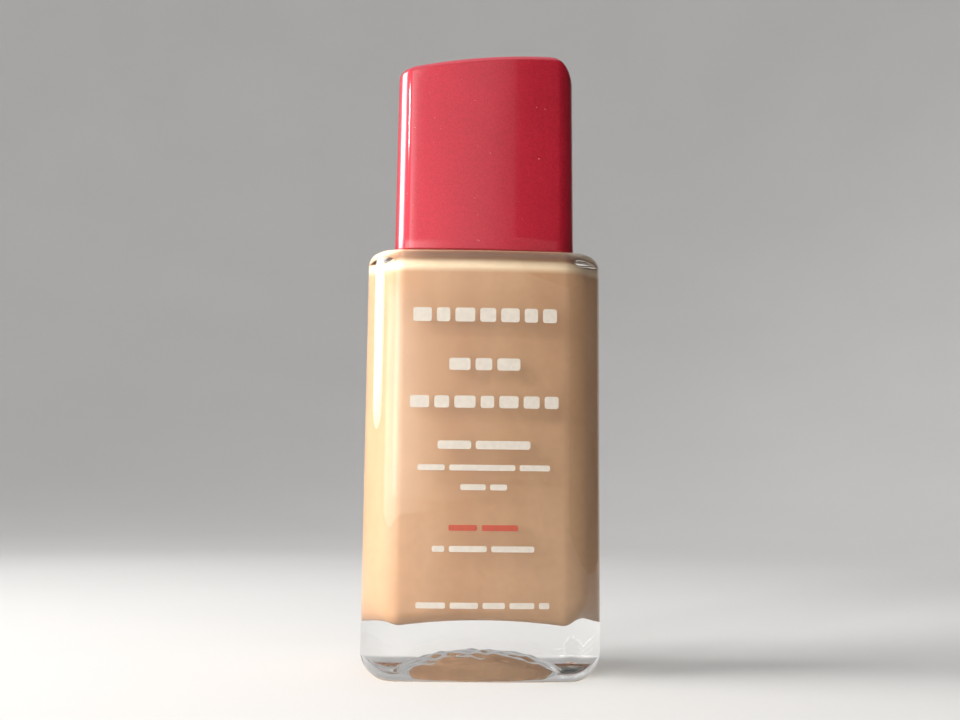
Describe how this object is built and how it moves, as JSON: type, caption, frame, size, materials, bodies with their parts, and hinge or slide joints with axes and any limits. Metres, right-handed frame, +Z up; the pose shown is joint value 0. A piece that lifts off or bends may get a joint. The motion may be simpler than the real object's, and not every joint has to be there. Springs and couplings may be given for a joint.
{
  "type": "foundation bottle",
  "caption": "Rectangular clear glass bottle of liquid foundation with a thick base, bowed faces, a printed front and a tall screw cap with a gently sloping top.",
  "frame": {"origin": "middle of the base, on the surface the bottle stands on", "axes": "+Z up along the neck, the printed front faces -Y, the width runs along X and the cap's higher side is at +X"},
  "size_m": [0.038, 0.03, 0.101],
  "materials": {
    "clear_glass": "polished",
    "foundation": "satin",
    "white_ink": "satin",
    "red_ink": "satin",
    "label_film": "satin",
    "liner_foam": "matte",
    "inner_cap_plastic": "satin",
    "cap_plastic": "gloss"
  },
  "bodies": {
    "bottle": {"glass_bottle": "clear_glass", "foundation_liquid": "foundation", "white_print": "white_ink", "red_print": "red_ink", "back_label": "label_film"},
    "liner": {"cap_liner": "liner_foam"},
    "cap": {"inner_cap": "inner_cap_plastic", "cap_shell": "cap_plastic"}
  },
  "joints": [
    {"name": "cap_rise", "type": "slide", "parent": "bottle", "child": "liner", "axis": [0, 0, 1], "range_m": [0, 0.0128]},
    {"name": "cap_twist", "type": "hinge", "parent": "liner", "child": "cap", "pos_m": [0, 0, 0.0768], "axis": [0, 0, 1], "range_deg": [0, 1440]}
  ],
  "couplings": [
    {"joint": "cap_rise", "follows": "cap_twist", "m_per_rad": 0.00050532}
  ]
}
